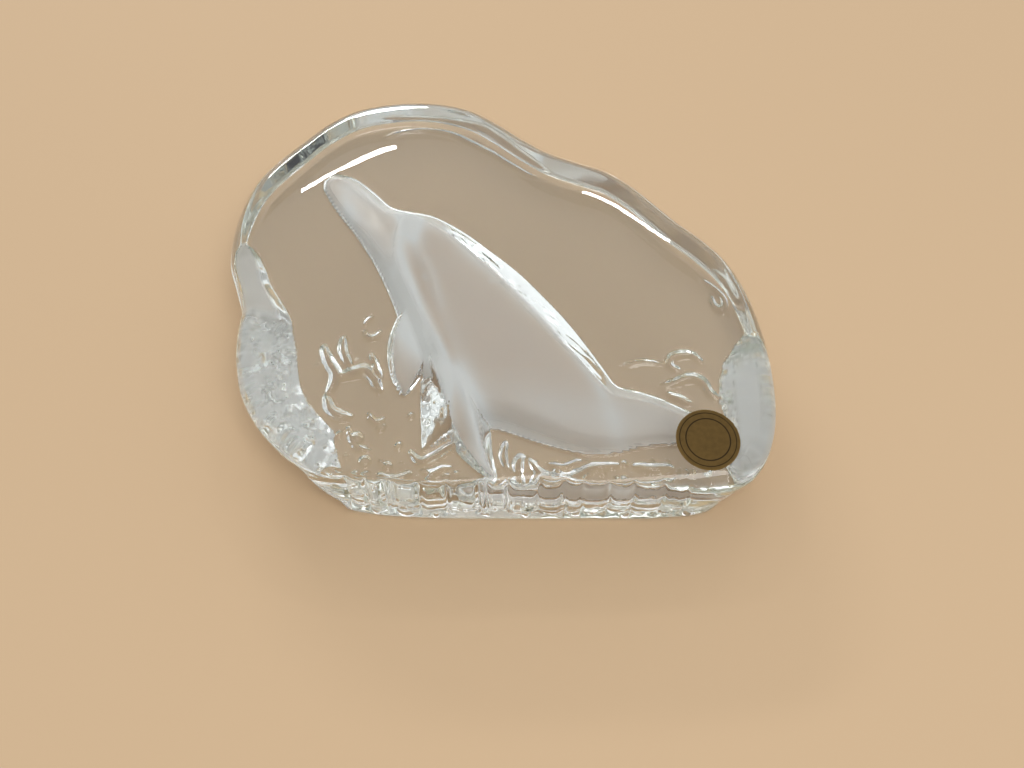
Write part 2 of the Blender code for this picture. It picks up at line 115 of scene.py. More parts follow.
RIGHT_SLOPE = (
    (-51.0, 0.0, 0.0, 1.0, 0.0), (-49.0, 2.6, 2.8, 1.0, 0.0), (-44.5, 5.6, 5.8, 1.1, 0.0),
    (-40.0, 6.6, 7.0, 1.0, 0.4), (-34.0, 9.0, 9.5, 0.9, 0.85), (-28.0, 10.2, 10.8, 0.9, 0.85),
    (-22.8, 9.6, 10.3, 0.9, 0.8), (-17.6, 7.4, 8.3, 0.9, 0.5), (-13.5, 4.0, 4.8, 0.8, 0.0),
    (-10.5, 0.0, 0.0, 0.8, 0.0),
)
# The stretch that is upright, because the block can stand on it.
BASE_STRETCH = (-132.0, -48.0)
# The rounding above it, in millimetres, at places along X.
BASE_SHOULDER = (
    (-36.0, 3.6), (-30.0, 1.6), (-14.0, 1.5), (-4.0, 1.9), (3.0, 2.5), (10.5, 3.2), (17.0, 2.3),
    (23.0, 1.6), (29.0, 2.2), (35.0, 2.9), (42.0, 3.4), (49.0, 4.4),
)

# Upright grooves pressed into that stretch: place along X, width and depth, all in millimetres.
GROOVES = (
    (-30.6, 1.6, 0.5), (-26.2, 1.0, 0.6), (-22.1, 1.3, 0.9), (-20.4, 0.9, 0.5), (-15.0, 1.4, 0.6),
    (-9.4, 1.0, 0.6), (-2.1, 1.1, 0.9), (-0.5, 0.8, 0.6), (3.9, 1.0, 0.8), (10.6, 1.2, 0.6),
    (15.6, 1.2, 0.9), (19.6, 0.9, 0.5), (25.0, 1.2, 0.8), (30.4, 1.1, 0.7), (36.6, 1.2, 0.6),
    (42.0, 1.1, 0.5),
)

# The dolphin from beak to tail: a point on its back, one on its belly, and its share of the depth.
BODY_STATIONS = (
    (-41.2, 36.5, -43.0, 34.2, 0.20), (-39.0, 36.1, -43.0, 31.6, 0.33),
    (-35.2, 34.6, -41.0, 27.2, 0.42), (-30.4, 30.2, -37.6, 21.8, 0.52),
    (-26.0, 25.6, -34.2, 17.0, 0.60), (-21.2, 24.0, -31.2, 12.0, 0.78),
    (-15.0, 22.5, -28.4, 6.9, 0.90), (-7.8, 17.9, -25.3, 0.0, 0.98),
    (-1.2, 12.2, -22.4, -7.6, 1.00), (5.8, 5.5, -19.0, -17.0, 1.00),
    (11.8, -1.6, -14.4, -27.0, 1.00), (17.2, -8.6, -7.8, -35.6, 0.98),
    (21.7, -15.6, 2.0, -37.8, 0.94), (25.4, -21.8, 11.4, -41.0, 0.84),
    (28.6, -26.7, 20.4, -43.2, 0.66), (33.4, -28.2, 27.6, -43.0, 0.50),
    (38.6, -30.2, 34.0, -41.4, 0.42), (44.6, -33.4, 41.2, -40.8, 0.34),
    (49.0, -36.0, 48.2, -39.6, 0.22),
)

# Across the body, from back to belly: share of the width, and share of the depth there.
BODY_SECTION = (
    (0.00, 0.00), (0.04, 0.22), (0.09, 0.48), (0.15, 0.78), (0.20, 0.95), (0.28, 1.00),
    (0.45, 0.99), (0.62, 0.97), (0.78, 0.95), (0.87, 0.80), (0.94, 0.48), (1.00, 0.00),
)

# Fins: a point on the middle line, half the width there, and the share of the fin's depth.
NEAR_FIN = (
    (-12.4, -16.0, 4.2, 0.70), (-9.6, -22.0, 5.0, 0.98), (-6.4, -31.0, 5.2, 1.00),
    (-4.7, -37.5, 4.7, 0.92), (-3.1, -42.0, 3.4, 0.74), (-1.1, -45.8, 1.9, 0.50),
    (1.2, -48.9, 0.4, 0.18),
)
FAR_FIN = (
    (-17.5, -8.0, 4.6, 0.58), (-19.1, -14.5, 4.8, 0.54), (-19.3, -20.0, 4.6, 0.48),
    (-19.7, -24.2, 3.3, 0.40), (-19.7, -27.0, 1.9, 0.30), (-19.9, -29.2, 0.4, 0.15),
)

# Across a fin, from its right bank to its left: share of the half width, and share of the depth.
NEAR_FIN_SECTION = (
    (1.00, 0.00), (0.80, 0.36), (0.50, 0.74), (0.14, 1.00), (-0.30, 0.96), (-0.74, 0.88),
    (-0.90, 0.56), (-1.00, 0.00),
)
FAR_FIN_SECTION = (
    (1.00, 0.00), (0.86, 0.62), (0.66, 0.94), (0.00, 1.00), (-0.66, 0.94), (-0.86, 0.62),
    (-1.00, 0.00),
)

# The clear spray against the near fin: its low bank, its high bank, and its share of the depth.
SPRAY_STATIONS = (
    (-16.3, -25.2, -12.6, -24.2, 0.50), (-16.2, -30.5, -9.9, -29.4, 0.94),
    (-15.8, -37.0, -9.2, -35.4, 1.00), (-15.5, -42.6, -9.0, -39.4, 0.70),
)
SPRAY_SECTION = ((0.00, 0.00), (0.50, 0.56), (1.00, 1.00))

# Raised lines and hollows within the dolphin: places, width in millimetres, height in millimetres.
BODY_LINES = (
    (((-21.6, 23.0), (-23.2, 12.0), (-22.0, 3.4), (-17.2, -7.6), (-12.6, -16.4), (-10.4, -27.0),
      (-9.4, -37.0)), 1.7, 0.75),
    (((-19.6, 18.0), (-19.4, 8.0), (-16.0, -3.6), (-11.4, -13.0), (-7.6, -22.4), (-6.6, -33.0)),
     2.2, -0.50),
    (((-18.0, 8.8), (-14.4, 1.8), (-12.8, -4.0)), 1.6, 0.25),
    (((-9.2, -19.6), (-6.4, -27.4), (-4.0, -35.2), (-1.6, -43.6)), 1.6, 0.55),
    (((-38.4, 33.0), (-33.0, 27.0), (-27.4, 18.4), (-25.2, 10.0)), 2.6, -0.35),
    (((27.4, -26.6), (27.6, -33.4), (28.4, -42.6)), 2.6, -0.45),
)

# Painted light on the satin finish: whiter for painted highlights on the melon, ridges and throat,
# warmer for painted shade in the grooves: places, width in millimetres, and by how much.
SATIN_HIGHLIGHT_AND_SHADE = (
    (((-21.1, 21.3), (-20.6, 18.0), (-20.0, 14.0)), 4.2, 1.30),
    (((-20.4, 17.3), (-19.5, 12.3), (-18.0, 6.7)), 3.4, 0.40),
    (((-23.3, 14.2), (-21.9, 6.7), (-20.3, -0.2), (-18.5, -7.0)), 3.0, 0.75),
    (((-20.4, -3.0), (-18.0, -9.4), (-15.2, -15.6), (-12.6, -21.4), (-11.0, -27.0)), 7.0, 0.85),
    (((-13.4, -17.8), (-10.9, -22.7), (-10.0, -29.1), (-9.4, -34.4), (-8.4, -39.0)), 3.0, 0.90),
    (((-37.2, 21.8), (-32.9, 14.1), (-27.9, 6.1), (-24.0, -2.3), (-21.2, -9.9), (-18.6, -15.5)),
     7.0, 0.85),
    (((-37.9, 32.4), (-33.6, 29.8), (-28.7, 25.4), (-24.4, 21.6), (-22.6, 19.6)), 3.2, 0.60),
    (((-38.1, 29.7), (-37.0, 25.4), (-35.4, 21.2)), 3.4, 0.45),
    (((-19.8, 19.3), (-13.2, 16.7), (-8.2, 12.2), (-5.6, 8.6), (1.8, 0.7), (9.0, -7.6)), 3.0, 0.55),
    (((9.0, -7.6), (14.1, -13.8), (19.2, -21.1), (22.9, -27.0), (25.2, -30.5)), 1.8, 0.50),
    (((-21.2, 13.5), (-19.7, 6.7), (-17.2, -0.8), (-14.5, -7.6), (-11.9, -13.9), (-9.6, -20.2),
      (-8.7, -27.0), (-7.6, -34.9), (-6.1, -40.5)), 2.0, -0.55),
    (((-15.8, 6.7), (-13.6, 0.1), (-11.7, -7.0)), 1.6, 0.28),
    (((-16.6, 2.0), (-15.8, 0.4)), 1.0, 0.25),
    (((-7.6, -24.9), (-5.2, -30.2), (-2.9, -35.4), (-1.3, -40.0), (-0.6, -44.0), (-0.1, -47.9)),
     4.6, 1.10),
    (((2.0, -36.9), (6.5, -39.5), (12.0, -42.0)), 2.4, 0.30),
    (((4.0, -32.0), (12.0, -34.0), (22.0, -35.6), (34.0, -35.4), (44.0, -35.4)), 9.0, 0.40),
    (((25.0, -30.2), (26.6, -34.4), (27.8, -38.5), (28.5, -42.5)), 3.6, 0.30),
)

# Splash strokes: the middle line, width in millimetres, and depth in millimetres.
STROKES = (
    (((-39.3, -16.0), (-37.9, -19.8), (-35.8, -23.9), (-36.9, -28.5)), 2.6, 1.8),
    (((-35.4, -24.4), (-32.2, -23.3), (-29.4, -22.6), (-27.4, -24.4), (-25.4, -28.0)), 3.1, 2.0),
    (((-34.9, -13.4), (-34.6, -17.6), (-32.3, -22.0)), 1.9, 1.5),
    (((-28.2, -18.0), (-26.8, -21.4), (-25.2, -25.0)), 1.3, 1.3),
    (((-37.4, -28.9), (-36.2, -32.4), (-34.0, -34.0), (-31.4, -34.4)), 2.4, 1.7),
    (((-17.8, -42.6), (-15.6, -44.8), (-12.2, -43.6), (-8.1, -41.2), (-5.2, -43.9),
      (-1.6, -47.4)), 2.0, 1.7),
    (((43.6, -22.6), (41.0, -21.0), (42.4, -18.6), (46.2, -18.2), (48.8, -20.6)), 1.6, 1.3),
    (((38.7, -27.2), (42.3, -25.6), (45.8, -24.4), (48.4, -25.8), (49.6, -28.6),
      (53.0, -30.4)), 1.9, 1.4),
    (((39.4, -28.6), (45.4, -31.2)), 1.5, 1.2),
    (((3.4, -40.4), (2.7, -43.4), (3.6, -46.6)), 1.6, 1.3),
    (((6.9, -43.4), (6.0, -45.4), (6.2, -48.0)), 2.4, 1.5),
    (((8.6, -44.6), (11.0, -47.6), (14.6, -48.8), (18.4, -48.4), (21.9, -46.4),
      (27.8, -45.6)), 2.5, 1.7),
    (((31.4, -45.8), (35.2, -46.4), (39.8, -46.0)), 2.0, 1.3),
    (((-30.2, -11.4), (-29.6, -13.0), (-28.2, -13.7), (-26.8, -13.0), (-26.2, -11.4)), 1.1, 1.2),
    (((-30.2, -10.6), (-29.4, -8.6), (-28.3, -7.8)), 0.9, 1.0),
    (((-32.0, -36.6), (-30.0, -41.0), (-26.6, -42.4)), 1.3, 1.2),
    (((-27.8, -33.6), (-26.0, -35.6), (-24.0, -35.0)), 1.1, 1.0),
    (((-24.6, -47.6), (-20.8, -48.6), (-17.2, -47.2)), 1.3, 1.2),
    (((-14.4, -49.4), (-11.6, -46.8), (-8.6, -46.0)), 1.2, 1.1),
    (((9.6, -49.9), (14.0, -51.0), (18.6, -50.2)), 1.2, 1.1),
    (((12.6, -45.4), (16.4, -45.9), (19.6, -44.4)), 1.1, 1.0),
    (((28.6, -48.2), (31.6, -49.8), (34.6, -48.6)), 1.2, 1.1),
    (((29.4, -22.0), (35.0, -20.2), (40.6, -21.2)), 0.9, 0.8),
    (((-27.9, 50.0), (-24.0, 51.6), (-19.4, 52.2), (-14.6, 51.6), (-10.5, 50.1), (-6.5, 47.4),
      (-1.1, 43.8), (4.2, 39.6), (8.9, 36.2), (13.3, 34.6)), 1.6, 0.7),
    (((50.4, 2.9), (53.4, 0.0), (55.0, -3.0), (54.2, -5.4), (52.4, -4.6), (52.0, -1.8)), 1.6, 1.3),
)

# Bubbles: a place, and a radius in millimetres.
BUBBLES = (
    ((-29.9, -39.6), 1.7), ((-24.6, -36.8), 1.2), ((-33.6, -38.4), 0.9), ((-27.6, -44.6), 1.4),
    ((-22.6, -45.8), 1.1), ((-20.4, -41.2), 1.0), ((-18.0, -34.2), 0.9), ((-40.2, -21.4), 0.9),
    ((-9.8, -48.2), 1.1), ((-5.8, -49.6), 0.9), ((30.6, -50.2), 1.4), ((36.2, -50.4), 1.0),
    ((24.8, -50.6), 0.9), ((-31.0, -20.0), 0.8), ((44.0, -50.0), 1.0),
)


class CrystalBlockSettings(bpy.types.PropertyGroup):
    roll_off: FloatProperty(
        name="Roll Off", description="How far the front falls further near its rim",
        default=0.0016, unit="LENGTH",
    )
    front_sag: FloatProperty(
        name="Front Sag", description="How far the domed front falls towards its sides",
        default=0.0015, unit="LENGTH",
    )
    shoulder_radius: FloatProperty(
        name="Shoulder Radius", description="Rounding between the front and the wall",
        default=0.004, unit="LENGTH",
    )
    back_edge: FloatProperty(
        name="Back Edge", description="Rounding between the back and the wall",
        default=0.0022, unit="LENGTH",
    )
    wall_draft: FloatProperty(
        name="Wall Draft", description="How far the wall leans in towards the back",
        default=0.0022, unit="LENGTH",
    )
    slope_size: FloatProperty(
        name="Slope Size", description="Size of the slopes under the rim, 1 as measured",
        default=1.0, min=0.1, max=1.2,
    )
    dolphin_depth: FloatProperty(
        name="Dolphin Depth", description="Depth of the pressed dolphin",
        default=0.0072, unit="LENGTH",
    )
    fin_depth: FloatProperty(
        name="Fin Depth", description="Depth of the pressed fins",
        default=0.0066, unit="LENGTH",
    )
    spray_depth: FloatProperty(
        name="Spray Depth", description="Depth of the clear spray against the near fin",
        default=0.0062, unit="LENGTH",
    )
    frost_roughness: FloatProperty(
        name="Frost Roughness", description="Roughness of the satin frosted dolphin",
        default=0.50, min=0.0, max=1.0, subtype="FACTOR",
    )
    # Where the satin carries no painted light, it scatters this share of light back.
    frost_white: FloatProperty(
        name="Frost White", description="Share of light that thin satin scatters back",
        default=0.58, min=0.0, max=1.0, subtype="FACTOR",
    )
    # Where the satin carries painted highlights, it scatters this share of light back.
    highlight_white: FloatProperty(
        name="Bloom White", description="Share of light that thick satin scatters back",
        default=0.92, min=0.0, max=1.0, subtype="FACTOR",
    )
    # The satin's warm tint away from its painted highlights, which also carries its painted shade.
    satin_colour: FloatVectorProperty(
        name="Satin Colour", description="Tint of the thin satin",
        default=(0.91, 0.80, 0.69), min=0.0, max=1.0, size=3, subtype="COLOR",
    )
    # The white of the painted highlights on the satin.
    highlight_colour: FloatVectorProperty(
        name="Bloom Colour", description="Tint of the thick satin",
        default=(0.97, 0.99, 1.0), min=0.0, max=1.0, size=3, subtype="COLOR",
    )
    depth_colour: FloatVectorProperty(
        name="Depth Colour", description="What colour thick glass turns",
        default=(0.86, 0.915, 0.875), min=0.0, max=1.0, size=3, subtype="COLOR",
    )
    depth_density: FloatProperty(
        name="Depth Density", description="How fast thick glass darkens, per metre",
        default=9.0, min=0.0,
    )
    glass_colour: FloatVectorProperty(
        name="Glass Colour", description="Tint of the clear crystal",
        default=(0.975, 0.985, 0.980), min=0.0, max=1.0, size=3, subtype="COLOR",
    )


class FoilLabelSettings(bpy.types.PropertyGroup):
    thickness: FloatProperty(
        name="Foil Thickness", description="Thickness of the foil label",
        default=0.00014, unit="LENGTH",
    )
    lift: FloatProperty(
        name="Glue Film", description="Thickness of the glue under the label",
        default=0.0001, unit="LENGTH",
    )
    foil_colour: FloatVectorProperty(
        name="Foil Colour", description="Colour of the dull gold foil",
        default=(0.108, 0.064, 0.018), min=0.0, max=1.0, size=3, subtype="COLOR",
    )


class StageSettings(bpy.types.PropertyGroup):
    floor_colour: FloatVectorProperty(
        name="Floor Colour", description="Colour of the plain pale floor",
        default=(0.57, 0.405, 0.25), min=0.0, max=1.0, size=3, subtype="COLOR",
    )
    room_direction: FloatVectorProperty(
        name="Room Direction", description="Where the brightest side of the room lies",
        default=(0.10, 0.90, 0.42), size=3, subtype="DIRECTION",
    )
    window_direction: FloatVectorProperty(
        name="Window Direction", description="Where the low soft light behind the block stands",
        default=(-0.30, 0.88, 0.38), size=3, subtype="DIRECTION",
    )
    pane_strength: FloatProperty(
        name="Pane Light", description="Power of each of the two small high lights, in watts",
        default=0.42, min=0.0,
    )
    window_strength: FloatProperty(
        name="Window Light", description="Power of the soft light behind the block, in watts",
        default=2.6, min=0.0,
    )
    top_strength: FloatProperty(
        name="Top Light", description="Power of the soft light above the block, in watts",
        default=6.0, min=0.0,
    )
    room_strength: FloatProperty(
        name="Room Light", description="Strength of the even light from all sides",
        default=1.12, min=0.0,
    )


# Curves and outlines

def spline(points, steps, closed):
    """Points on a smooth curve through the given ones, as rows of an array."""
    points = np.array(points, float)
    count = len(points)
    spans = count if closed else count - 1
    t = (np.arange(steps) / steps)[:, None]
    result = []
    for span in range(spans):
        places = [span - 1, span, span + 1, span + 2]
        if closed:
            a, b, c, d = (points[place % count] for place in places)
        else:
            a, b, c, d = (points[min(max(place, 0), count - 1)] for place in places)
        result.append(0.5 * (
            2 * b + (c - a) * t + (2 * a - 5 * b + 4 * c - d) * t ** 2
            + (3 * b - a - 3 * c + d) * t ** 3
        ))
    if not closed:
        result.append(points[-1:])
    return np.concatenate(result)


def smooth_step(low, high, value):
    t = np.clip((value - low) / (high - low), 0.0, 1.0)
    return t * t * (3.0 - 2.0 * t)


def outline_at(turns):
    """The places where rays from the middle at these angles meet the block's outline."""
    curve = spline(OUTLINE, 16, True) * MM
    angles = np.unwrap(np.arctan2(curve[:, 1], curve[:, 0]))
    order = np.argsort(angles % math.tau)
    sorted_angles = (angles % math.tau)[order]
    reach = np.hypot(curve[:, 0], curve[:, 1])[order]
    distance = np.interp(turns, sorted_angles, reach, period=math.tau)
    return np.stack([distance * np.cos(turns), distance * np.sin(turns)], axis=1)


def rim_turns():
    """Angles of the steps round the block, twice as close where its wall is grooved."""
    fine = math.tau * np.arange(3600) / 3600
    degrees = np.degrees(fine)
    weight = 1.0 + 1.3 * smooth_step(-140.0, -130.0, degrees - 360.0) * (
        1.0 - smooth_step(-50.0, -40.0, degrees - 360.0))
    total = np.concatenate([[0.0], np.cumsum(weight)])
    return np.interp(total[-1] * np.arange(AROUND) / AROUND, total, np.append(fine, math.tau))


def circular_average(values, width):
    """The values of a closed ring again, each averaged with its neighbours."""
    kernel = np.exp(-0.5 * (np.arange(-3 * width, 3 * width + 1) / width) ** 2)
    kernel /= kernel.sum()
    padded = np.concatenate([values[-3 * width:], values, values[:3 * width]])
    return np.stack(
        [np.convolve(padded[:, k], kernel, mode="valid") for k in range(values.shape[1])], axis=1
    )


def unit_rows(values):
    return values / np.linalg.norm(values, axis=1)[:, None]


def share_of_stretch(turns, stretch):
    """0 at the ends of a stretch of the rim and outside it, rising to 1 in its middle."""
    start, end = stretch
    angle = (np.degrees(turns) - start) % 360.0
    inside = angle < end - start
    return np.where(inside, np.sqrt(np.sin(np.pi * np.clip(angle / (end - start), 0.0, 1.0))), 0.0)


def slope_along(turns, slope):
    """Width and height of a slope at each angle round the middle, how rough and how satin it is."""
    angle, *columns = np.array(slope).T
    degrees = (np.degrees(turns) - angle[0]) % 360.0
    columns = [np.interp(degrees, angle - angle[0], values, right=0.0) for values in columns]
    return np.stack(columns) * np.array([MM, MM, 1.0, 1.0])[:, None]


def near_line(x, y, line, reach):
    """Which points lie within reach of the box round a line."""
    low = line.min(axis=0) - reach
    high = line.max(axis=0) + reach
    return (x > low[0]) & (x < high[0]) & (y > low[1]) & (y < high[1])


def distance_to_line(x, y, places):
    """Distance of each point to a line through the places, and how far along it, 0 to 1."""
    line = spline(places, 6, False) * MM
    near = near_line(x, y, line, 8 * MM)
    best = np.full(x.shape, 1.0)
    along = np.zeros(x.shape)
    best[near], along[near] = distance_to_spans(x[near], y[near], line)
    return best, along


def distance_to_spans(x, y, line):
    """Distance of each point to the nearest straight piece of a line, and how far along it."""
    best = np.full(x.shape, 1.0)
    along = np.zeros(x.shape)
    spans = len(line) - 1
    for i in range(spans):
        start = line[i]
        step = line[i + 1] - start
        share = ((x - start[0]) * step[0] + (y - start[1]) * step[1]) / (step @ step)
        share = np.clip(share, 0.0, 1.0)
        apart = np.hypot(x - start[0] - share * step[0], y - start[1] - share * step[1])
        nearer = apart < best
        best = np.where(nearer, apart, best)
        along = np.where(nearer, (i + share) / spans, along)
    return best, along


def field(x, y, scale, seed):
    """Smooth noise from -1 to 1 at each place, whose bumps are about scale metres wide."""
    flat = [
        noise.noise(Vector((px / scale, py / scale, seed)))
        for px, py in zip(x.ravel().tolist(), y.ravel().tolist())
    ]
    return np.array(flat).reshape(x.shape)


# The pressed relief

def loft(mesh, rings):
    """Skins neighbouring rings to each other and closes both ends."""
    made = []
    for ring in rings:
        corners = [mesh.verts.new(place) for place in ring]
        made.append([mesh.edges.new((corners[i - 1], corners[i])) for i in range(len(corners))])
    for lower, upper in zip(made, made[1:]):
        bmesh.ops.bridge_loops(mesh, edges=lower + upper)
    bmesh.ops.holes_fill(mesh, edges=made[0] + made[-1], sides=0)


def bank_form(mesh, stations, section, depth):
    """A solid that rises from the back of the block between two banks."""
    section = spline(section, 4, False)
    rings = []
    for one_x, one_y, other_x, other_y, share in spline(stations, 6, False):
        one = Vector((one_x, one_y, 0.0)) * MM
        other = Vector((other_x, other_y, 0.0)) * MM
        below = Vector((0.0, 0.0, -MM))
        ring = [one + below]
        for across, rise in section:
            ring.append(one.lerp(other, across) + Vector((0.0, 0.0, depth * share * rise)))
        ring.append(other + below)
        rings.append(ring)
    loft(mesh, rings)


def fin_form(mesh, line, section, depth):
    """A solid that rises along the middle line of a fin."""
    section = spline(section, 4, False)
    stations = spline(line, 6, False)
    places = [Vector((x, y, 0.0)) * MM for x, y, _, _ in stations]
    below = Vector((0.0, 0.0, -MM))
    rings = []
    for i, (_, _, half_width, share) in enumerate(stations):
        along = places[min(i + 1, len(places) - 1)] - places[max(i - 1, 0)]
        side = Vector((-along.y, along.x, 0.0)).normalized() * half_width * MM
        ring = [places[i] + side + below]
        for across, rise in section:
            ring.append(places[i] + side * across + Vector((0.0, 0.0, depth * share * rise)))
        ring.append(places[i] - side + below)
        rings.append(ring)
    loft(mesh, rings)


def pressed(x, y, build):
    """Height of the built solid over each place, 0 beside it, and which way it faces there."""
    mesh = bmesh.new()
    build(mesh)
    tree = BVHTree.FromBMesh(mesh)
    corners = np.array([vert.co.xy for vert in mesh.verts])
    mesh.free()
    near = near_line(x, y, corners, 0.0)
    rows = []
    for px, py in zip(x[near].tolist(), y[near].tolist()):
        place, normal, _, _ = tree.ray_cast(Vector((px, py, 0.05)), Vector((0.0, 0.0, -1.0)))
        if place is None or place.z < 0.0:
            rows.append((0.0, 0.0, 0.0, 1.0))
        else:
            rows.append((place.z, *(normal if normal.z > 0.0 else -normal)))
    result = np.zeros((4,) + x.shape)
    result[3] = 1.0
    result[:, near] = np.array(rows).T
    return result


def dolphin_relief(x, y, settings):
    """Height of the pressed dolphin, and how frosted it is: its steep far banks stay polished."""
    body = pressed(x, y, lambda mesh: bank_form(
        mesh, BODY_STATIONS, BODY_SECTION, settings.dolphin_depth))
    near = pressed(x, y, lambda mesh: fin_form(
        mesh, NEAR_FIN, NEAR_FIN_SECTION, settings.fin_depth))
    far = pressed(x, y, lambda mesh: fin_form(
        mesh, FAR_FIN, FAR_FIN_SECTION, settings.fin_depth))
    steep_body = 1.0 - smooth_step(0.68, 0.80, body[3])
    along_back = smooth_step(-14 * MM, -9 * MM, x) * (1.0 - smooth_step(25 * MM, 27 * MM, x))
    back_bank = steep_body * along_back * (body[1] + body[2] > 0.0)
    polish = [back_bank] + [1.0 - smooth_step(0.50, 0.72, fin[3]) for fin in (near, far)]
    heights = np.stack([body[0], near[0], far[0]])
    polish = np.take_along_axis(np.stack(polish), heights.argmax(axis=0)[None], axis=0)[0]
    height = heights.max(axis=0)
    along_bank, across_bank = 0.68 * x - 0.73 * y, 0.73 * x + 0.68 * y
    crumple = MM * (0.42 * field(along_bank, 4.2 * across_bank, 7 * MM, 21.0)
                    + 0.16 * field(along_bank, 2.0 * across_bank, 2.4 * MM, 23.0))
    inside = smooth_step(1.0 * MM, 3.0 * MM, height)
    height = height + crumple * back_bank * inside
    for places, width, rise in BODY_LINES:
        apart, along = distance_to_line(x, y, places)
        ends = np.sin(np.pi * np.clip(0.06 + 0.9 * along, 0.0, 1.0)) ** 0.5
        ridge = np.exp(-0.5 * (apart / (0.5 * width * MM)) ** 2)
        height = height + inside * ends * rise * MM * ridge
    return height, 1.0 - polish


def splash_relief(x, y, settings):
    """Height of the clear spray, strokes and bubbles round the dolphin."""
    height = pressed(x, y, lambda mesh: bank_form(
        mesh, SPRAY_STATIONS, SPRAY_SECTION, settings.spray_depth))[0]
    on_spray = height > 0.0
    height[on_spray] += smooth_step(0.0, 1.2 * MM, height[on_spray]) * MM * (
        0.30 * field(x[on_spray], y[on_spray], 2.6 * MM, 31.0)
        + 0.12 * field(x[on_spray], y[on_spray], 1.2 * MM, 37.0)
    )
    near_base = smooth_step(-55 * MM, -52 * MM, y) * (1.0 - smooth_step(-48 * MM, -38 * MM, y))
    wet = (near_base > 0.0) & (np.abs(x - 4 * MM) < 44 * MM) & (height == 0.0)
    drops = (field(x[wet], y[wet], 2.2 * MM, 61.0) + 0.4 * field(x[wet], y[wet], 1.2 * MM, 67.0))
    height[wet] = np.maximum(0.0, 1.5 * MM * (near_base[wet] * drops - 0.13))
    for places, width, depth in STROKES:
        apart, along = distance_to_line(x, y, places)
        full = np.sqrt(np.sin(np.pi * (0.05 + 0.9 * along)))
        reach = np.clip(1.0 - (apart / (0.5 * width * MM * full)) ** 2, 0.0, 1.0)
        height = np.maximum(height, depth * MM * full * np.sqrt(reach))
    for (px, py), radius in BUBBLES:
        apart = np.hypot(x - px * MM, y - py * MM) / (radius * MM)
        round_top = np.sqrt(np.clip(1.0 - apart ** 2, 0.0, 1.0))
        height = np.maximum(height, 0.5 * radius * MM * round_top)
    return height


def relax(height):
    """Softens the pressed edges, as glass does when it leaves the mould."""
    inner = height[1:-1]
    across = height[:-2] + height[2:]
    around = np.roll(inner, 1, axis=1) + np.roll(inner, -1, axis=1)
    soft = height.copy()
    soft[1:-1] = 0.4 * inner + 0.15 * across + 0.15 * around
    return soft


# The block

def front_dome(x, y, settings):
    """Height of the front at each place, before it rolls off to the wall."""
    half_x = 0.5 * (BLOCK_HIGH.x - BLOCK_LOW.x)
    half_y = 0.5 * (BLOCK_HIGH.y - BLOCK_LOW.y)
    return BLOCK_HIGH.z - settings.front_sag * ((x / half_x) ** 2 + (y / half_y) ** 2)


def front_roll(inset, settings):
    """How far the front has fallen at these distances from the wall, besides its dome."""
    return settings.roll_off * np.clip(1.0 - inset / ROLL_ZONE, 0.0, 1.0) ** 2.2


def front_waves(x, y):
    """The front's faint unevenness, which pressed glass keeps."""
    return 0.05 * MM * field(x, y, 17 * MM, 3.0)


def wall_flutes(x, share):
    """How far the upright wall is pressed in: grooves from back to front, and rough patches."""
    still = np.zeros(x.shape)
    bent = x + 0.5 * MM * field(x, still, 5 * MM, 5.0 + 0.8 * share)
    pressed_in = 0.26 * (1.0 + field(x, still, 9 * MM, 8.0 + 0.2 * share))
    for middle, width, depth in GROOVES:
        apart = np.abs(bent / MM - middle) / width
        pressed_in = pressed_in + depth * np.exp(-2.0 * apart ** 1.4)
    rough = smooth_step(0.05, 0.5, field(x, still, 10 * MM, 21.0 + 0.3 * share))
    pressed_in = pressed_in + (0.02 + 0.16 * rough) * field(x, still, 1.2 * MM, 12.0 + 6.0 * share)
    return MM * pressed_in


def painted_satin_light(x, y):
    """Painted light on the satin finish at each place, from 0, warm painted shade, to 1, painted
    highlight.
    """
    painted_light = np.full(x.shape, 0.10) + 0.05 * field(x, y, 9 * MM, 41.0)
    for places, width, strength in SATIN_HIGHLIGHT_AND_SHADE:
        apart, along = distance_to_line(x, y, places)
        ends = np.sin(np.pi * np.clip(0.10 + 0.8 * along, 0.0, 1.0)) ** 0.5
        painted_light = painted_light + strength * ends * np.exp(-0.5 * (apart / (0.5 * width * MM)) ** 2)
    return np.clip(painted_light, 0.0, 1.0)


class BlockRim:
    """The outline of the block with what changes along it."""

    def __init__(self, settings):
        self.turns = rim_turns()
        self.place = outline_at(self.turns)
        along = np.roll(self.place, -1, axis=0) - np.roll(self.place, 1, axis=0)
        straight_in = unit_rows(np.stack([-along[:, 1], along[:, 0]], axis=1))
        self.inward = unit_rows(circular_average(straight_in, 3))
        self.broad_inward = unit_rows(circular_average(straight_in, 28))
        left, right = (slope_along(self.turns, slope) for slope in (LEFT_SLOPE, RIGHT_SLOPE))
        width, height, self.rough, self.satin = np.maximum(left, right)
        self.slope_width = settings.slope_size * width
        self.slope_height = settings.slope_size * height
        self.foot = np.maximum(settings.back_edge, self.slope_height)
        self.upright = np.minimum(1.6 * share_of_stretch(self.turns, BASE_STRETCH), 1.0)
        self.draft = settings.wall_draft * (1.0 - self.upright)
        x, radius = np.array(BASE_SHOULDER).T
        tight = np.interp(self.place[:, 0], x * MM, radius * MM)
        self.shoulder = settings.shoulder_radius * (1.0 - self.upright) + tight * self.upright

    def distance(self, spots):
        """How far each place is from the outline."""
        return np.linalg.norm(spots[:, None, :] - self.place[None, :, :], axis=2).min(axis=1)

    def inset(self, distance):
        """The outline moved in by a distance, one for all or one for each place."""
        distance = np.broadcast_to(distance, (AROUND,))
        blend = smooth_step(3 * MM, RIM_ZONE, distance)[:, None]
        inward = unit_rows(self.inward * (1.0 - blend) + self.broad_inward * blend)
        return self.place + inward * distance[:, None]


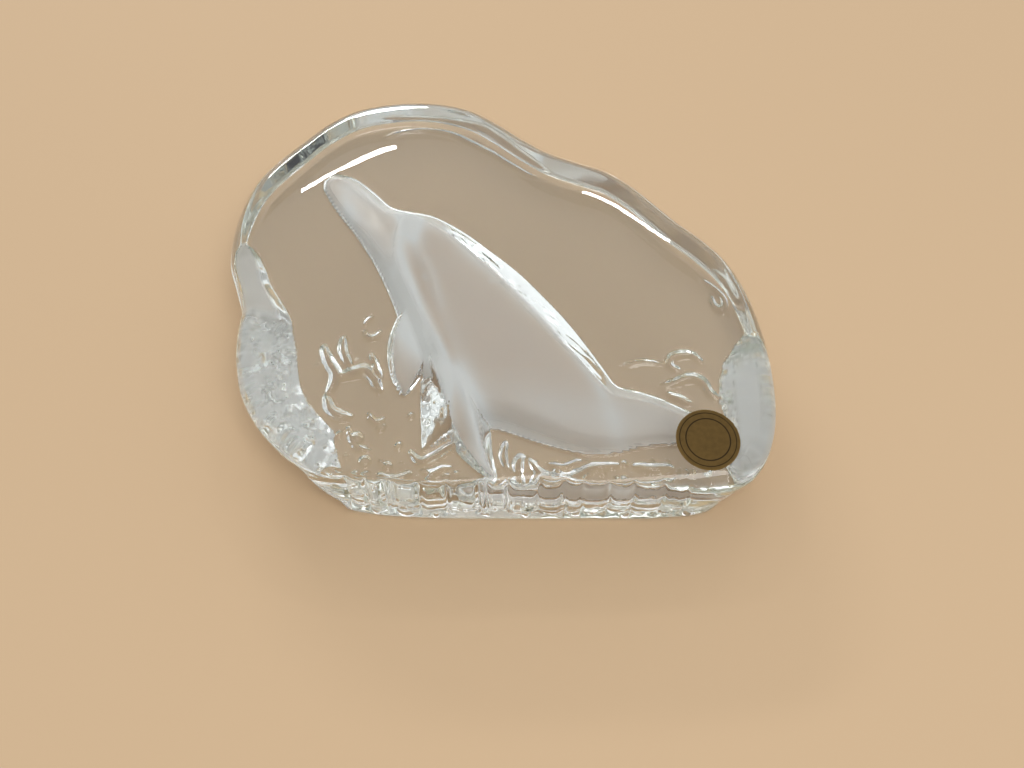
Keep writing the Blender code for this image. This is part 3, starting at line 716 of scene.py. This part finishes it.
def back_rings(rim):
    """x, y and inset of the rings of the back, from the middle out to the foot of the wall."""
    inner = rim.inset(rim.draft + RIM_ZONE)
    places = []
    insets = []
    for step in range(1, INTAGLIO_RINGS + 1):
        places.append(inner * (step / INTAGLIO_RINGS) ** 0.8)
        insets.append(np.full(AROUND, FAR_FROM_WALL))
    for step in range(1, SLOPE_RINGS + 1):
        inset = RIM_ZONE * (1.0 - step / SLOPE_RINGS)
        places.append(rim.inset(rim.draft + inset))
        insets.append(np.full(AROUND, inset))
    places = np.array(places)
    return places[:, :, 0], places[:, :, 1], np.array(insets)


def up_the_slope(inset, rim):
    """How far up the slope each place is, 0 below it and 1 at the wall, and how satin it is."""
    up_slope = np.clip(1.0 - inset / np.maximum(rim.slope_width, 1e-6), 0.0, 1.0)
    satin = smooth_step(0.20, 0.42, up_slope) * (1.0 - smooth_step(0.80, 0.98, up_slope))
    return up_slope, satin * rim.satin


def back_height(x, y, inset, rim, settings):
    """Height of the back near the wall: its rounded edge and the slopes, satin or rough."""
    near_edge = np.clip(1.0 - inset / settings.back_edge, 0.0, 1.0)
    edge = settings.back_edge * (1.0 - np.sqrt(1.0 - near_edge ** 2))
    up_slope, satin = up_the_slope(inset, rim)
    on = up_slope > 0.0
    mottle = np.zeros(x.shape)
    mottle[on] = (
        0.24 * field(x[on], y[on], 3.2 * MM, 7.0) + 0.15 * field(x[on], y[on], 1.4 * MM, 11.0)
    )
    rough = rim.rough * smooth_step(0.0, 0.16, up_slope) * (1.0 - satin)
    return np.maximum(edge, rim.slope_height * up_slope + rough * mottle * MM)


def slope_skin(x, y, inset, rim):
    """How satin the slopes are: all over where they are smooth, in patches where rough."""
    up_slope, satin = up_the_slope(inset, rim)
    rough = np.broadcast_to(rim.rough, x.shape)
    skin = np.zeros(x.shape)
    on = up_slope > 0.0
    patches = field(x[on], y[on], 2.4 * MM, 51.0) + 0.7 * field(x[on], y[on], 1.0 * MM, 53.0)
    skin[on] = 0.8 * smooth_step(-0.35, 0.20, patches) * smooth_step(0.5, 1.0, rough[on])
    return np.maximum(skin, satin)


def build_block(settings):
    """The block's mesh, laid out ring by ring: its back, its wall, its shoulder and its front."""
    rim = BlockRim(settings)
    x, y, inset = back_rings(rim)
    dolphin, satin = dolphin_relief(x, y, settings)
    splash = splash_relief(x, y, settings)
    base = back_height(x, y, inset, rim, settings)
    relief = relax(np.maximum(dolphin, splash))
    z = np.maximum(base, relief)
    frost = smooth_step(0.25 * MM, 0.9 * MM, relax(dolphin)) * (dolphin >= splash) * satin
    # The dolphin's satin gets painted light: white painted highlights and warm painted shade.
    painted_light = painted_satin_light(x, y)
    skin = slope_skin(x, y, inset, rim)
    # On the satin slopes the tint is a painted silvery reflection, white where the slope is rough
    # and paler grey where it is smooth.
    painted_light = np.where(skin > frost, 0.35 + 0.65 * smooth_step(0.2, 0.5, rim.rough), painted_light)
    frost = np.maximum(frost, skin)
    layers = [(np.stack([x, y, z], axis=2), np.stack([frost, painted_light], axis=2))]

    # The wall from its foot up, then the shoulder, then the front as far as its middle.
    shoulder_inner = rim.inset(rim.shoulder)
    top = front_dome(shoulder_inner[:, 0], shoulder_inner[:, 1], settings)
    start = top - rim.shoulder - front_roll(0.0, settings)
    clear = np.zeros((1, AROUND, 2))
    for step in range(1, WALL_RINGS + 1):
        share = step / WALL_RINGS
        spot = rim.inset(rim.draft * (1.0 - share))
        height = rim.foot + (start - rim.foot) * share
        fade = smooth_step(0.0, 0.2, share)
        flutes = wall_flutes(spot[:, 0], share) * rim.upright * fade
        spot = spot + rim.inward * flutes[:, None]
        layers.append((np.column_stack([spot, height])[None], clear))
    for step in range(1, SHOULDER_RINGS + 1):
        turn = 0.5 * math.pi * step / SHOULDER_RINGS
        inset = rim.shoulder * (1.0 - math.cos(turn))
        spot = rim.inset(inset)
        height = top - rim.shoulder * (1.0 - math.sin(turn)) - front_roll(inset, settings)
        flutes = wall_flutes(spot[:, 0], 1.0) * rim.upright * math.cos(turn) ** 2
        spot = spot + rim.inward * flutes[:, None]
        layers.append((np.column_stack([spot, height])[None], clear))
    for step in range(1, FRONT_RINGS):
        share = (step / FRONT_RINGS) ** 1.8
        spot = shoulder_inner * (1.0 - share)
        roll = front_roll(rim.distance(spot), settings)
        waves = front_waves(spot[:, 0], spot[:, 1]) * smooth_step(0.0, 0.2, share)
        height = front_dome(spot[:, 0], spot[:, 1], settings) - roll + waves
        layers.append((np.column_stack([spot, height])[None], clear))

    places = np.concatenate([layer[0] for layer in layers])
    finish = np.concatenate([layer[1] for layer in layers])
    return wrap_rings(places, finish)


def wrap_rings(places, finish):
    """A grid rolled up into the block: its rows are the rings from the back over the rim."""
    ring_count = len(places)
    sheet = bmesh.new()
    bmesh.ops.create_grid(sheet, x_segments=AROUND, y_segments=ring_count - 1, size=0.5)
    mesh = bpy.data.meshes.new("crystal_block_glass")
    sheet.to_mesh(mesh)
    sheet.clear()
    where = np.empty(len(mesh.vertices) * 3)
    mesh.vertices.foreach_get("co", where)
    where = where.reshape(-1, 3) + 0.5
    turn = np.rint(where[:, 0] * AROUND).astype(int) % AROUND
    ring = np.rint(where[:, 1] * (ring_count - 1)).astype(int)
    mesh.vertices.foreach_set("co", places[ring, turn].ravel())
    for layer, name in enumerate(FINISH):
        values = mesh.attributes.new(name, "FLOAT", "POINT")
        values.data.foreach_set("value", finish[ring, turn, layer].astype(np.float32))
    sheet.from_mesh(mesh)
    bmesh.ops.remove_doubles(sheet, verts=[v for v in sheet.verts if v.is_boundary], dist=1e-7)
    ends = [edge for edge in sheet.edges if edge.is_boundary]
    lids = bmesh.ops.holes_fill(sheet, edges=ends, sides=0)["faces"]
    layers = [sheet.verts.layers.float[name] for name in FINISH]
    for middle in bmesh.ops.poke(sheet, faces=lids)["verts"]:
        for layer in layers:
            middle[layer] = middle.link_edges[0].other_vert(middle)[layer]
    bmesh.ops.recalc_face_normals(sheet, faces=sheet.faces)
    sheet.to_mesh(mesh)
    sheet.free()
    mesh.shade_smooth()
    return mesh


# Materials

def new_material(name):
    """A new material, its nodes, their links and its shader."""
    material = bpy.data.materials.new(name)
    material.use_nodes = True
    nodes = material.node_tree.nodes
    return material, nodes, material.node_tree.links, nodes["Principled BSDF"]


def map_range(nodes, links, value, low, high):
    """Turns 0 to 1 of the value into low to high."""
    ranged = nodes.new("ShaderNodeMapRange")
    ranged.inputs["To Min"].default_value = low
    ranged.inputs["To Max"].default_value = high
    links.new(value, ranged.inputs["Value"])
    return ranged.outputs["Result"]


def crystal_material(settings):
    """Clear polished crystal that turns satin frosted where the dolphin is pressed, its satin
    carrying painted highlights and painted shade.
    """
    material, nodes, links, shader = new_material("clear_and_frosted_crystal")
    shader.inputs["IOR"].default_value = 1.545
    frost, painted_light = (nodes.new("ShaderNodeAttribute") for _ in FINISH)
    frost.attribute_name, painted_light.attribute_name = FINISH
    # The satin's colour goes from its warm tint to white with the painted light, from painted shade
    # to painted highlight.
    satin = nodes.new("ShaderNodeMix")
    satin.data_type = "RGBA"
    satin.inputs["A"].default_value = (*settings.satin_colour, 1.0)
    satin.inputs["B"].default_value = (*settings.highlight_colour, 1.0)
    links.new(painted_light.outputs["Fac"], satin.inputs["Factor"])
    colour = nodes.new("ShaderNodeMix")
    colour.data_type = "RGBA"
    colour.inputs["A"].default_value = (*settings.glass_colour, 1.0)
    links.new(frost.outputs["Fac"], colour.inputs["Factor"])
    links.new(satin.outputs["Result"], colour.inputs["B"])
    links.new(colour.outputs["Result"], shader.inputs["Base Color"])
    roughness = map_range(nodes, links, frost.outputs["Fac"], 0.0, settings.frost_roughness)
    links.new(roughness, shader.inputs["Roughness"])
    white = settings.frost_white, settings.highlight_white
    scattered = nodes.new("ShaderNodeMath")
    scattered.operation = "MULTIPLY"
    links.new(frost.outputs["Fac"], scattered.inputs[0])
    links.new(map_range(nodes, links, painted_light.outputs["Fac"], *white), scattered.inputs[1])
    clear = nodes.new("ShaderNodeMath")
    clear.operation = "SUBTRACT"
    clear.inputs[0].default_value = 1.0
    links.new(scattered.outputs["Value"], clear.inputs[1])
    links.new(clear.outputs["Value"], shader.inputs["Transmission Weight"])
    absorption = nodes.new("ShaderNodeVolumeAbsorption")
    absorption.inputs["Color"].default_value = (*settings.depth_colour, 1.0)
    absorption.inputs["Density"].default_value = settings.depth_density
    links.new(absorption.outputs["Volume"], nodes["Material Output"].inputs["Volume"])
    return material


def foil_material(settings, middle, radius):
    """Dull gold foil with a fine grain, two darker printed rings and an edge that turns brighter.
    """
    material, nodes, links, shader = new_material("dull_gold_foil")
    shader.inputs["Metallic"].default_value = 0.85
    where = nodes.new("ShaderNodeTexCoord")
    centred = nodes.new("ShaderNodeMapping")
    centred.inputs["Location"].default_value = (-middle[0], -middle[1], 0.0)
    links.new(where.outputs["Object"], centred.inputs["Vector"])
    flat = nodes.new("ShaderNodeVectorMath")
    flat.operation = "MULTIPLY"
    flat.inputs[1].default_value = (1.0 / radius, 1.0 / radius, 0.0)
    links.new(centred.outputs["Vector"], flat.inputs[0])
    length = nodes.new("ShaderNodeVectorMath")
    length.operation = "LENGTH"
    links.new(flat.outputs["Vector"], length.inputs[0])
    rings = nodes.new("ShaderNodeValToRGB")
    rings.color_ramp.interpolation = "EASE"
    stops = rings.color_ramp.elements
    gold = settings.foil_colour
    bright = tuple(min(1.0, 1.7 * c) for c in gold)
    dark = tuple(0.22 * c for c in gold)
    stops[0].position = 0.0
    stops[0].color = (*gold, 1.0)
    stops[1].position = 1.0
    stops[1].color = (*bright, 1.0)
    for position, colour in (
        (0.66, gold), (0.68, dark), (0.70, dark), (0.72, gold),
        (0.86, gold), (0.875, dark), (0.89, dark), (0.905, gold), (0.96, gold),
    ):
        stops.new(position).color = (*colour, 1.0)
    links.new(length.outputs["Value"], rings.inputs["Fac"])
    grain = nodes.new("ShaderNodeTexNoise")
    grain.inputs["Scale"].default_value = 900.0
    grain.inputs["Detail"].default_value = 4.0
    links.new(where.outputs["Object"], grain.inputs["Vector"])
    tint = nodes.new("ShaderNodeVectorMath")
    tint.operation = "SCALE"
    links.new(rings.outputs["Color"], tint.inputs[0])
    links.new(map_range(nodes, links, grain.outputs["Fac"], 0.75, 1.25), tint.inputs["Scale"])
    links.new(tint.outputs["Vector"], shader.inputs["Base Color"])
    dull = map_range(nodes, links, grain.outputs["Fac"], 0.32, 0.50)
    links.new(dull, shader.inputs["Roughness"])
    bump = nodes.new("ShaderNodeBump")
    bump.inputs["Strength"].default_value = 0.25
    bump.inputs["Distance"].default_value = 0.00004
    links.new(grain.outputs["Fac"], bump.inputs["Height"])
    links.new(bump.outputs["Normal"], shader.inputs["Normal"])
    return material


def floor_material(settings):
    material, _, _, shader = new_material("pale_floor")
    shader.inputs["Base Color"].default_value = (*settings.floor_colour, 1.0)
    shader.inputs["Roughness"].default_value = 0.75
    shader.inputs["Specular IOR Level"].default_value = 0.2
    return material


def add_piece(mesh, name, material, node):
    mesh.materials.clear()
    mesh.materials.append(material)
    piece = bpy.data.objects.new(name, mesh)
    bpy.context.scene.collection.objects.link(piece)
    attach(piece, "root")
    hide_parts(node)
    return piece


# Operators

class CRYSTAL_OT_block(bpy.types.Operator):
    """Add the glass block with the dolphin and its splash pressed into the back"""

    bl_idname = "crystal.block"
    bl_label = "Glass Block"

    def execute(self, context):
        settings = context.scene.crystal_block
        mesh = build_block(settings)
        material = crystal_material(settings)
        add_piece(mesh, "crystal_block_glass", material, "crystal_block")
        return {"FINISHED"}


class CRYSTAL_OT_label(bpy.types.Operator):
    """Add the round foil label that follows the front of the block"""

    bl_idname = "crystal.label"
    bl_label = "Foil Label"

    def execute(self, context):
        settings = context.scene.foil_label
        middle = 0.5 * (LABEL_LOW + LABEL_HIGH)
        radius = 0.5 * (LABEL_HIGH.x - LABEL_LOW.x)
        disc = bmesh.new()
        bmesh.ops.create_circle(disc, cap_ends=True, segments=96, radius=radius)
        bmesh.ops.poke(disc, faces=disc.faces[:])
        bmesh.ops.solidify(disc, geom=disc.faces[:], thickness=-settings.thickness)
        bmesh.ops.translate(disc, verts=disc.verts, vec=(middle.x, middle.y, 0.0))
        glass = bmesh.new()
        glass.from_mesh(bpy.data.meshes["crystal_block_glass"])
        front = BVHTree.FromBMesh(glass)
        glass.free()
        for vert in disc.verts:
            above = Vector((vert.co.x, vert.co.y, 2.0 * BLOCK_HIGH.z))
            vert.co.z += front.ray_cast(above, Vector((0.0, 0.0, -1.0)))[0].z + settings.lift
        bmesh.ops.recalc_face_normals(disc, faces=disc.faces)
        # The faces of the foil's edge come in a different order each time: put all in one order.
        across = Vector((1.0, 0.37, 11.3))
        disc.faces.sort(key=lambda face: across.dot(face.calc_center_median()))
        mesh = bpy.data.meshes.new("foil_label_gold")
        disc.to_mesh(mesh)
        disc.free()
        mesh.shade_smooth()
        mesh.set_sharp_from_angle(angle=math.radians(40.0))
        material = foil_material(settings, middle, radius)
        add_piece(mesh, "foil_label_gold", material, "foil_label")
        return {"FINISHED"}


class CRYSTAL_OT_stage(bpy.types.Operator):
    """Add the plain floor, the soft lights and the camera"""

    bl_idname = "crystal.stage"
    bl_label = "Studio Stage"

    def execute(self, context):
        settings = context.scene.crystal_stage
        plane = bmesh.new()
        bmesh.ops.create_grid(plane, x_segments=2, y_segments=2, size=1.2)
        bmesh.ops.translate(plane, verts=plane.verts, vec=(0.0, 0.3, -0.0002))
        mesh = bpy.data.meshes.new("pale_floor")
        plane.to_mesh(mesh)
        plane.free()
        mesh.materials.append(floor_material(settings))
        floor = bpy.data.objects.new("pale_floor", mesh)
        context.scene.collection.objects.link(floor)

        long_window, thin_pane = (0.46, 0.05), (0.19, 0.018)
        for name, towards, size, power in (
            ("window_light", settings.window_direction, long_window, settings.window_strength),
            ("left_pane_light", (-0.26, 0.80, 0.70), thin_pane, settings.pane_strength),
            ("right_pane_light", (0.24, 0.80, 0.67), thin_pane, settings.pane_strength),
        ):
            place = Vector(towards).normalized() * LAMP_REACH
            add_lamp(name, place, (0.0, 0.0, 0.01), size, power)
        add_lamp("top_light", (0.2, -0.5, 1.0), (0.0, 0.0, 0.0), (0.7, 0.6), settings.top_strength)

        context.scene.world = studio_room(settings)

        camera_data = bpy.data.cameras.new("photo_camera")
        camera_data.lens = CAMERA_LENS
        camera_data.sensor_width = 36.0
        camera_data.clip_start = 0.01
        camera = bpy.data.objects.new("photo_camera", camera_data)
        camera.location = CAMERA_PLACE
        camera.rotation_euler = (CAMERA_TILT, 0.0, 0.0)
        context.scene.collection.objects.link(camera)
        context.scene.camera = camera

        context.scene.view_settings.view_transform = "Standard"
        context.scene.cycles.max_bounces = 20
        context.scene.cycles.diffuse_bounces = 8
        context.scene.cycles.transmission_bounces = 20
        context.scene.cycles.glossy_bounces = 12
        return {"FINISHED"}


def studio_room(settings):
    """An even room that is brightest behind the block, on the window's side, and dim in front."""
    world = bpy.data.worlds.new("studio_room")
    world.use_nodes = True
    nodes = world.node_tree.nodes
    links = world.node_tree.links
    direction = nodes.new("ShaderNodeTexCoord")
    towards = nodes.new("ShaderNodeVectorMath")
    towards.operation = "DOT_PRODUCT"
    towards.inputs[1].default_value = Vector(settings.room_direction).normalized()
    links.new(direction.outputs["Generated"], towards.inputs[0])
    spread = nodes.new("ShaderNodeMapRange")
    spread.inputs["From Min"].default_value = -0.75
    spread.inputs["From Max"].default_value = 0.95
    links.new(towards.outputs["Value"], spread.inputs["Value"])
    shade = nodes.new("ShaderNodeValToRGB")
    stops = shade.color_ramp.elements
    stops[0].color = (0.10, 0.095, 0.09, 1.0)
    stops[1].color = (0.98, 1.0, 1.02, 1.0)
    stops.new(0.45).color = (0.34, 0.34, 0.33, 1.0)
    links.new(spread.outputs["Result"], shade.inputs["Fac"])
    background = nodes["Background"]
    links.new(shade.outputs["Color"], background.inputs["Color"])
    background.inputs["Strength"].default_value = settings.room_strength
    return world


def add_lamp(name, place, target, size, power):
    """A soft lamp of two side lengths that faces its target."""
    data = bpy.data.lights.new(name, "AREA")
    data.shape = "RECTANGLE"
    data.size = size[0]
    data.size_y = size[1]
    data.energy = power
    lamp = bpy.data.objects.new(name, data)
    lamp.location = place
    lamp.rotation_euler = (Vector(target) - Vector(place)).to_track_quat("-Z", "Y").to_euler()
    bpy.context.scene.collection.objects.link(lamp)


class CRYSTAL_PT_panel(bpy.types.Panel):
    """The ornament's pieces and their settings"""

    bl_label = "Crystal Ornament"
    bl_space_type = "VIEW_3D"
    bl_region_type = "UI"
    bl_category = "Crystal"

    def draw(self, context):
        scene = context.scene
        for operator, settings in (
            ("crystal.block", scene.crystal_block),
            ("crystal.label", scene.foil_label),
            ("crystal.stage", scene.crystal_stage),
        ):
            box = self.layout.box()
            box.operator(operator)
            for name in settings.bl_rna.properties.keys():
                if name not in ("rna_type", "name"):
                    box.prop(settings, name)


CLASSES = (
    CrystalBlockSettings, FoilLabelSettings, StageSettings,
    CRYSTAL_OT_block, CRYSTAL_OT_label, CRYSTAL_OT_stage, CRYSTAL_PT_panel,
)


def register():
    for item in CLASSES:
        bpy.utils.register_class(item)
    bpy.types.Scene.crystal_block = PointerProperty(type=CrystalBlockSettings)
    bpy.types.Scene.foil_label = PointerProperty(type=FoilLabelSettings)
    bpy.types.Scene.crystal_stage = PointerProperty(type=StageSettings)


def unregister():
    del bpy.types.Scene.crystal_stage
    del bpy.types.Scene.foil_label
    del bpy.types.Scene.crystal_block
    for item in reversed(CLASSES):
        bpy.utils.unregister_class(item)


def main():
    register()
    bpy.ops.crystal.block()
    bpy.ops.crystal.label()
    bpy.ops.crystal.stage()


if __name__ == "__main__":
    main()
